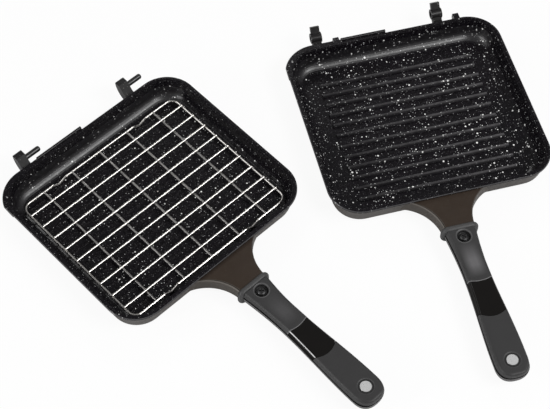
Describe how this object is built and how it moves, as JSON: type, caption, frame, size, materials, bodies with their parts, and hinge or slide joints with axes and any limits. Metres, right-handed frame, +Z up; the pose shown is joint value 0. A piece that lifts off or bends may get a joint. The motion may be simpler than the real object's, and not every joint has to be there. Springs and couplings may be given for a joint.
{
  "type": "double_sided_flip_pan",
  "caption": "Double sided flip pan laid open: left half with a loose wire rack, ribbed right half, each with a long handle, hinge pins and knuckles unhooked",
  "frame": {"origin": "on the table, under the middle of the left half's flat base", "axes": "+X along the left half's hinge line to the right, +Y from its handle towards its hinge, +Z up out of the pan"},
  "size_m": [0.5402, 0.5282, 0.0392],
  "materials": {
    "coated_casting": "satin black non-stick coat with fine grey speckle",
    "brown_casting": "satin brown-grey coat",
    "pin_steel": "satin",
    "guard_plastic": "matte",
    "handle_plastic": "soft-touch matte",
    "gloss_band": "high gloss",
    "bright_steel": "satin",
    "magnet_nickel": "bright",
    "rack_wire": "bright"
  },
  "bodies": {
    "left_half": {"left_pan": "coated_casting", "left_hinge_lug_outer": "brown_casting", "left_hinge_lug_inner": "brown_casting", "left_hinge_pin_outer": "pin_steel", "left_hinge_pin_inner": "pin_steel", "left_handle_bracket": "brown_casting", "left_handle_guard": "guard_plastic", "left_handle_base": "handle_plastic", "left_handle_cover": "handle_plastic", "left_handle_band": "gloss_band", "left_handle_grip": "handle_plastic", "left_handle_screw": "bright_steel", "left_screw_washer": "bright_steel", "left_magnet": "magnet_nickel"},
    "rack": {"rack_border": "rack_wire", "rack_bars": "rack_wire", "rack_cross_wires": "rack_wire"},
    "right_half": {"right_pan": "coated_casting", "right_hinge_knuckle_outer": "brown_casting", "right_hinge_knuckle_inner": "brown_casting", "right_handle_bracket": "brown_casting", "right_handle_guard": "guard_plastic", "right_handle_base": "handle_plastic", "right_handle_cover": "handle_plastic", "right_handle_band": "gloss_band", "right_handle_grip": "handle_plastic", "right_handle_screw": "bright_steel", "right_screw_washer": "bright_steel", "right_magnet": "magnet_nickel"}
  },
  "joints": [
    {"name": "rack_lift", "type": "slide", "parent": "left_half", "child": "rack", "axis": [0, 0, 1], "range_m": [0, 0.06]},
    {"name": "right_flip", "type": "hinge", "parent": "left_half", "child": "right_half", "pos_m": [0.33213, -0.00891, 0.028], "axis": [-0.8746, 0.4848, 0], "range_deg": [0, 180]}
  ]
}
